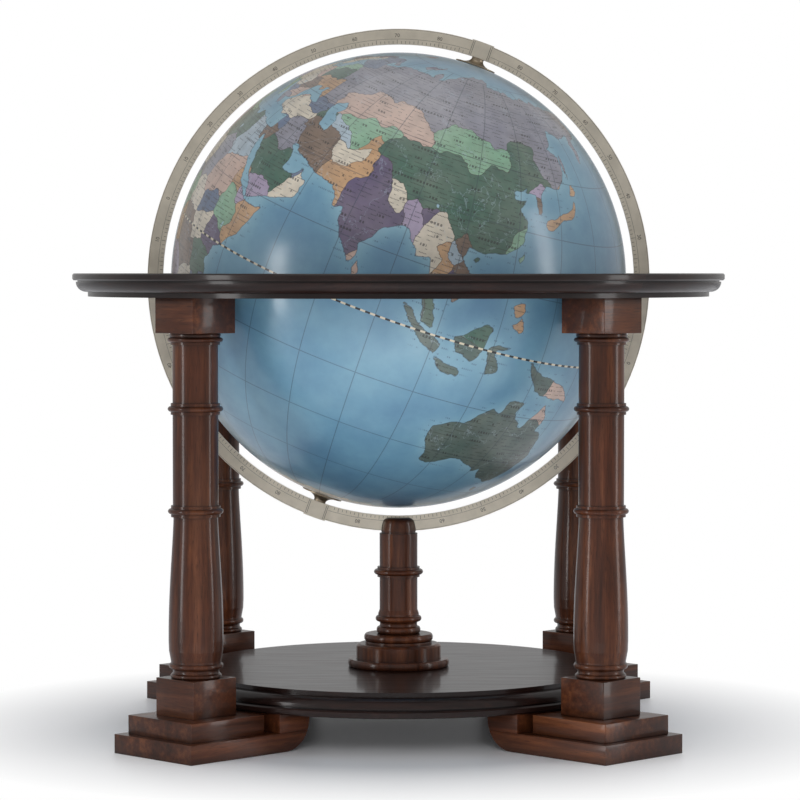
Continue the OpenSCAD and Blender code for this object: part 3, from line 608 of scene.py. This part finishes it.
# Printed tints, each with the middles of the areas that carry it
TINTS = [
    (rgb(66, 104, 88), "105,35 95,36 88,32 82,33 85,42 78,38 95,41 115,30 110,24 102,27 117,37 113,41 122,45 "
     "125,43 128,46 122,50 100,31 93,30 45,24 41,27 50,21 42,20 47,27 48,40.3 17,27 22,27 13,29 35,-6 24,-30 "
     "28,-28 -8.3,39.5 28,53.5 102,4 113,3.5 116.5,5.5 -100,39 -85,35 -115,40 -110,34 -75,42 -98,30 -150,65 "
     "-66,7.5 -65,-17"),
    (rgb(142, 142, 156), "40,56 50,57 60,58 70,60 82,60 95,58 105,57 118,57 130,58 145,62 160,64 175,66 40,65 "
     "60,66 80,68 100,68 120,68 140,68 43,48 133,48 50,52 88,53 108,53 43.5,33 45.5,31.5 42,36 18,15 19,20 "
     "23,-22 -1,8 22,39.5 135,51"),
    (rgb(205, 176, 162), "52,47.5 60,49 68,49 76,48 82,48 58,46 30,16 33,14 27,13 34,19 29.5,-19 47,-19 3,28 "
     "0,33 7,30 19.5,52 25.5,42.5 -2,53 145,-6 149,-9 80.7,7.5 -73,4"),
    (rgb(138, 182, 152), "100,47 107,46.5 93,47.5 112,46.8 104,49 63,42 66,40 59,43 74,42 39,9 42,7 38,12 "
     "12.5,5.5 9.5,34.5 -15,14.5 12.5,43 16.5,40 25,57 -8,53 121,23.7 175,-39 170,-44 -71,19 -54.5,4 -65,-32 "
     "-67,-42 -62,-37 -64,-26"),
    (rgb(98, 86, 118), "78,22 76,27 82,20 77,13 86,24 73,26 94,26.5 77,32 81,26 38,0.5 -3,17 -7,14 8.5,61 "
     "14,66.5 18,78 105,12.5 -78,21.5 -71.5,-30 -73,-42 -70.5,-22 -72,-50"),
    (rgb(200, 160, 120), "68,27 71,31 65,28 73,34 71,38.5 39,15.5 46,5 48,9 15,-1 16.5,-21 -10,20 -1.5,12.5 "
     "-4,40 31,49 36,48 101,15 99.5,18 121,16 124,8 123.5,11 137,36 131.5,33 141,39.5 143,43.5 -105,56 -75,52 "
     "-120,56 -90,52 -110,65 -135,62 -95,72 -80,80 -105,71 -56,48.5 -65,70 -81,8.7 -58.5,5 -59,-23"),
    (rgb(122, 100, 84), "53,33 57,31 49,34 59,35 46,37 60,28 54,36 36.5,31 23,-3 26,-7 20,0 -11,10 25,46 107,15 "
     "105.5,21.5 106.5,11 127.8,36.8 -102,23 -97,18 -110,28 -56,-33"),
    (rgb(224, 214, 196), "65,33 69,35 63,34.5 57,21 55,18.5 33,39 38,38.5 42,39 28,38.5 21,7 32,1.5 27,-14 9,17 "
     "13,18 -5.5,8 10.5,51 19,47 15.5,60 18,65 96,21 97,25 98,17 84,28.3 -42,72 -35,80 -50,66 -90,15 -75,-10 "
     "-72,-14.5 0,-80 90,-78 180,-82 -90,-80 60,-75 120,-75 -60,-72 -120,-77"),
    (rgb(172, 192, 206), "59,39 56,40 62,37.5 30,27 33,24 27,24.5 103,19"),
    (rgb(172, 158, 186), "47,15.5 44,15 17,-12 2.5,47 90,24 90.5,27.4 127,40 -85.5,13.5 -55,-5 -50,-15 -62,-5 "
     "-42,-10 -52,-25 -68,-7"),
    (rgb(78, 100, 94), "134,-25 122,-25 146,-25 146,-36 118,-32 113,-1 102,0 110,-7.5 121,-2 137,-4.5 98,3"),
    (rgb(98, 116, 146), "54,24 38,35 43,42.3 30,8 36,-15 34,-20 8,9.5 -7,32 20,44 26,63 27,67 -18,65 -78.5,-1"),
]
FINE = 0.15
KEEP = 4
VIEW_LON = 92.5
# The print's north pole stands this far in front of the pin
PRINT_LEAN = math.radians(9.3)


def points_of(text):
    return [tuple(map(float, pair.split(","))) for pair in text.split()]


def fractal(rng, shape, power, lowest):
    """Seeded cloud noise that repeats round the ball, about one unit deep."""
    spread = np.fft.rfft2(rng.standard_normal(shape))
    ky = np.fft.fftfreq(shape[0])[:, None] * shape[0] * 2
    kx = np.fft.rfftfreq(shape[1])[None, :] * shape[1]
    k = np.hypot(ky, kx)
    field = np.fft.irfft2(spread * np.where(k < lowest, 0, 1 / np.maximum(k, 1) ** power), shape)
    return field / field.std()


def soften(field):
    """Averages over one cell of the ball's mesh each way."""
    weights = [KEEP - abs(i) for i in range(-KEEP + 1, KEEP)]
    for direction in (0, 1):
        field = sum(w * np.roll(field, i - KEEP + 1, direction) for i, w in enumerate(weights)) / KEEP ** 2
    return field


def map_fields():
    """Cover of land, of each tint and of the shallow sea, on a longitude and latitude grid."""
    lons = np.arange(-180, 180, FINE)
    lats = np.arange(-90, 90 + FINE, FINE)
    land = np.zeros((len(lats), len(lons)), bool)
    for outline in LAND.split("/"):
        corners = points_of(outline)
        for shift in (-360, 0, 360):
            for (x1, y1), (x2, y2) in zip(corners, corners[1:] + corners[:1]):
                rows = np.nonzero((y1 > lats) != (y2 > lats))[0]
                cross = x1 + shift + (lats[rows] - y1) * (x2 - x1) / ((y2 - y1) or 1)
                land[rows] ^= lons[None, :] < cross[:, None]
    lon, lat = np.radians(lons)[None, :], np.radians(lats)[:, None]
    seeds = [(*p, i) for i, (_, text) in enumerate(TINTS) for p in points_of(text)]
    s_lon, s_lat = np.radians([s[0] for s in seeds]), np.radians([s[1] for s in seeds])
    seed_way = np.stack([np.cos(s_lat) * np.cos(s_lon), np.cos(s_lat) * np.sin(s_lon), np.sin(s_lat)])
    tint_of = np.array([s[2] for s in seeds])
    tint = np.empty(land.shape, np.int8)
    for i, row_lat in enumerate(lat[:, 0]):
        way = np.stack([np.cos(row_lat) * np.cos(lon[0]), np.cos(row_lat) * np.sin(lon[0]),
                        np.full(len(lons), np.sin(row_lat))], 1)
        tint[i] = tint_of[np.argmax(way.astype(np.float32) @ seed_way.astype(np.float32), 1)]
    rng = np.random.default_rng(11)
    rows, columns = np.indices(land.shape)

    def warped(field, amount):
        down = amount / FINE * fractal(rng, field.shape, 1.9, 14)
        along = amount / FINE * fractal(rng, field.shape, 1.9, 14) / np.maximum(np.cos(lat), 0.2)
        return field[np.clip(rows + down, 0, len(lats) - 1).astype(int),
                     (columns + along).astype(int) % len(lons)]

    land = warped(land, 0.55)
    tint = warped(tint, 0.8)
    cover = soften(land.astype(np.float32))
    shallow = cover.copy()
    for step in (4, 6, 8, 10, 12, 14):
        shallow = (shallow + np.roll(shallow, step, 0) + np.roll(shallow, -step, 0)
                   + np.roll(shallow, step, 1) + np.roll(shallow, -step, 1)) / 5
    tints = np.stack([soften((tint == i).astype(np.float32)) for i in range(len(TINTS))], -1)
    return cover, shallow, tints


def map_material():
    """A printed paper map under varnish: tints, borders, coasts, grid, equator and faint print."""
    material, tree, shader, out = new_material("printed_map")
    place = tree.node("ShaderNodeTexCoord").outputs["Object"]
    from_centre = tree.node("ShaderNodeVectorMath", operation="SUBTRACT")
    tree.put(from_centre.inputs[0], place)
    from_centre.inputs[1].default_value = centre
    upright = tree.node("ShaderNodeVectorRotate", {"Vector": from_centre.outputs[0], "Angle": -lean},
                        rotation_type="Y_AXIS").outputs[0]
    printed = tree.node("ShaderNodeVectorRotate", {"Vector": upright, "Angle": -PRINT_LEAN},
                        rotation_type="X_AXIS").outputs[0]
    unit = tree.node("ShaderNodeVectorMath", operation="NORMALIZE")
    tree.put(unit.inputs[0], printed)
    parts = tree.node("ShaderNodeSeparateXYZ", {"Vector": unit.outputs[0]}).outputs
    lat = tree.math("DEGREES", tree.math("ARCSINE", parts["Z"]))
    lon = tree.math("DEGREES", tree.math("ARCTAN2", parts["X"], tree.math("MULTIPLY", parts["Y"], -1.0)))
    narrow = tree.math("SQRT", tree.math("SUBTRACT", 1.0, tree.math("MULTIPLY", parts["Z"], parts["Z"])))

    def attribute(name):
        return tree.node("ShaderNodeAttribute", attribute_name=name).outputs

    fields = []
    for name in ("tints_a", "tints_b", "tints_c"):
        found = attribute(name)
        split = tree.node("ShaderNodeSeparateColor", {"Color": found["Color"]}).outputs
        fields += [split["Red"], split["Green"], split["Blue"], found["Alpha"]]
    colour, best, second = TINTS[0][0], fields[0], None
    for field, (tint, _) in zip(fields[1:], TINTS[1:]):
        wins = tree.math("GREATER_THAN", field, best)
        runner = tree.math("MINIMUM", field, best)
        second = runner if second is None else tree.math("MAXIMUM", second, runner)
        best = tree.math("MAXIMUM", field, best)
        colour = tree.mix(wins, colour, tint)
    border = tree.math("LESS_THAN", tree.math("SUBTRACT", best, second), 0.16)
    mottled = tree.noise(place, 60, 5, 0.6)
    relief = tree.noise(place, 26, 4, 0.6)
    colour = tree.mix(tree.span(relief, 0.35, 0.7, 0.0, 0.14), colour, rgb(220, 210, 195))
    colour = tree.mix(tree.span(mottled, 0.35, 0.7, 0.0, 0.32), colour, rgb(48, 50, 56))
    winding = tree.math("SUBTRACT", tree.noise(place, 19, 5, 0.6, 0.4), 0.5)
    river = tree.math("LESS_THAN", tree.math("ABSOLUTE", winding), 0.0035)
    colour = tree.mix(tree.math("MULTIPLY", river, 0.22), colour, rgb(180, 200, 215))
    lake = tree.math("GREATER_THAN", tree.noise(place, 85, 2, 0.5), 0.77)
    colour = tree.mix(tree.math("MULTIPLY", lake, 0.8), colour, rgb(165, 195, 215))
    colour = tree.mix(tree.math("MULTIPLY", border, 0.75), colour, rgb(70, 60, 58))

    def dashes(row_degrees, letter_degrees, word_scale, share, seed):
        """Short broken streaks along the parallels, as small print looks from afar."""
        row = tree.math("DIVIDE", tree.math("ADD", lat, 90 + seed), row_degrees)
        off_row = tree.math("ABSOLUTE", tree.math("SUBTRACT", tree.math("FRACT", row), 0.5))
        line = tree.math("LESS_THAN", off_row, 0.11)
        step = tree.math("MULTIPLY", lon, narrow)
        spot = tree.node("ShaderNodeCombineXYZ", {
            "X": tree.math("MULTIPLY", step, word_scale),
            "Y": tree.math("MULTIPLY", tree.math("FLOOR", row), 5.3),
            "Z": float(seed),
        }).outputs[0]
        word = tree.math("GREATER_THAN", tree.noise(spot, 1.0, 1, 0.5), share)
        letter = tree.math("LESS_THAN", tree.math("FRACT", tree.math("DIVIDE", step, letter_degrees)), 0.62)
        return tree.math("MULTIPLY", line, tree.math("MULTIPLY", word, letter))

    print_small = tree.math("MAXIMUM", dashes(1.1, 0.36, 0.5, 0.5, 3), dashes(2.9, 0.8, 0.25, 0.57, 8))
    colour = tree.mix(tree.math("MULTIPLY", print_small, 0.7), colour, rgb(40, 38, 40))

    shallow = attribute("shallow")["Fac"]
    deep = tree.noise(place, 13, 5, 0.55)
    depth = tree.math("ADD", tree.math("MULTIPLY", shallow, 0.75), tree.math("MULTIPLY", deep, 0.9))
    sea = tree.node("ShaderNodeValToRGB")
    sea.color_ramp.elements[0].position = 0.3
    sea.color_ramp.elements[0].color = rgb(92, 136, 166)
    sea.color_ramp.elements[1].position = 0.9
    sea.color_ramp.elements[1].color = rgb(140, 180, 196)
    middle = sea.color_ramp.elements.new(0.46)
    middle.color = rgb(108, 153, 178)
    tree.put(sea.inputs[0], depth)
    ocean = tree.mix(tree.span(mottled, 0.35, 0.7, 0.0, 0.2), sea.outputs[0], rgb(80, 120, 150))
    coast_print = tree.math("MULTIPLY", dashes(1.7, 0.5, 0.6, 0.57, 5), tree.span(shallow, 0.06, 0.2))
    ocean = tree.mix(tree.math("MULTIPLY", coast_print, 0.5), ocean, rgb(50, 70, 95))

    cover = tree.math("ADD", attribute("cover")["Fac"],
                      tree.span(tree.noise(place, 140, 3, 0.6), 0.0, 1.0, -0.14, 0.14))
    is_land = tree.math("GREATER_THAN", cover, 0.5)
    coast = tree.math("LESS_THAN", tree.math("ABSOLUTE", tree.math("SUBTRACT", cover, 0.5)), 0.13)
    colour = tree.mix(is_land, ocean, colour)
    colour = tree.mix(tree.math("MULTIPLY", coast, 0.5), colour, rgb(48, 66, 84))

    every = 15.0
    off_lat = tree.math("PINGPONG", tree.math("ADD", lat, 90.0), every / 2)
    off_lon = tree.math("PINGPONG", tree.math("ADD", lon, VIEW_LON + 360), every / 2)
    off_lon = tree.math("MULTIPLY", off_lon, narrow)
    grid = tree.math("MAXIMUM", tree.math("LESS_THAN", off_lat, 0.12), tree.math("LESS_THAN", off_lon, 0.12))
    grid = tree.math("MULTIPLY", grid, tree.math("LESS_THAN", tree.math("ABSOLUTE", lat), 75.2))
    colour = tree.mix(tree.math("MULTIPLY", grid, 0.5), colour, rgb(52, 62, 74))
    equator = tree.math("LESS_THAN", tree.math("ABSOLUTE", lat), 0.24)
    block = tree.math("LESS_THAN", tree.math("FRACT", tree.math("DIVIDE", lon, 2.5)), 0.5)
    band = tree.mix(block, rgb(215, 205, 180), rgb(38, 38, 42))
    colour = tree.mix(equator, colour, band)
    tree.put(shader.inputs["Base Color"], colour)
    tree.put(shader.inputs["Roughness"], tree.span(mottled, 0.3, 0.7, 0.34, 0.46))
    shader.inputs["Coat Weight"].default_value = 0.9
    shader.inputs["Coat Roughness"].default_value = 0.18
    paper = tree.noise(place, 420, 3, 0.6)
    bump = tree.node("ShaderNodeBump", {"Height": paper, "Strength": 0.08, "Distance": 0.0004})
    tree.put(shader.inputs["Normal"], bump.outputs[0])
    return material


def add_map_ball():
    """The two printed halves of the ball, as shells with the pole holes left open."""
    cover, shallow, tints = map_fields()
    cell = FINE * KEEP
    lons = np.arange(-180, 180, cell)
    columns = len(lons)
    hole_lat = math.degrees(math.acos(BUSH_HOLE_R / globe_r))
    MATERIALS["map"] = map_material()
    for sign, name, node in ((1, "north_map", "north_hemisphere"), (-1, "south_map", "south_hemisphere")):
        outer = [(globe_r, lat) for lat in [*np.arange(0, 87.8, cell), hole_lat]]
        inner = [(globe_r - SHELL_T, lat) for lat in [hole_lat, 75, 60, 45, 30, 15, 0]]
        rows = outer + inner
        angle = np.radians(lons - VIEW_LON)[None, :]
        radius = np.array([r for r, _ in rows])[:, None]
        lat = np.radians([sign * a for _, a in rows])[:, None]
        x = radius * np.cos(lat) * np.sin(angle)
        y = -radius * np.cos(lat) * np.cos(angle)
        z = radius * np.sin(lat) + 0 * angle
        across = (math.cos(lean), math.sin(lean))
        print_y = y * math.cos(PRINT_LEAN) + z * math.sin(PRINT_LEAN)
        print_z = z * math.cos(PRINT_LEAN) - y * math.sin(PRINT_LEAN)
        print_lat = np.degrees(np.arcsin(np.clip(print_z / radius, -1, 1)))
        print_lon = VIEW_LON + np.degrees(np.arctan2(x, -print_y))
        row = np.clip(np.rint((print_lat + 90) / FINE).astype(int), 0, len(cover) - 1)
        column = np.rint((print_lon + 180) / FINE).astype(int) % cover.shape[1]
        points = np.stack([x * across[0] + z * across[1] + centre.x, y + centre.y,
                           -x * across[1] + z * across[0] + centre.z], -1).reshape(-1, 3)
        index = np.arange(len(rows) * columns).reshape(len(rows), columns)
        low, high = index, np.roll(index, -1, 0)
        quads = np.stack([low, np.roll(low, -1, 1), np.roll(high, -1, 1), high], -1).reshape(-1, 4)
        if sign < 0:
            quads = quads[:, ::-1]
        mesh = bpy.data.meshes.new(name)
        mesh.from_pydata(points, [], quads)
        for label, field in (("cover", cover), ("shallow", shallow)):
            made = mesh.attributes.new(label, "FLOAT", "POINT")
            made.data.foreach_set("value", field[row, column].astype(np.float32).ravel())
        for i, label in enumerate(("tints_a", "tints_b", "tints_c")):
            made = mesh.attributes.new(label, "FLOAT_COLOR", "POINT")
            made.data.foreach_set("color", tints[row, column, 4 * i:4 * i + 4].astype(np.float32).ravel())
        finish(linked(name, mesh), "ball", "map_ball", "map", 30, node)


# ------------------------------------------------------------------ making

bpy.context.scene.view_settings.view_transform = "Standard"
set_camera()
set_world()
set_floor()
set_lights()
make_materials()
dress_cad_nodes()
add_leg_blocks()
add_ring_marks()
add_map_ball()
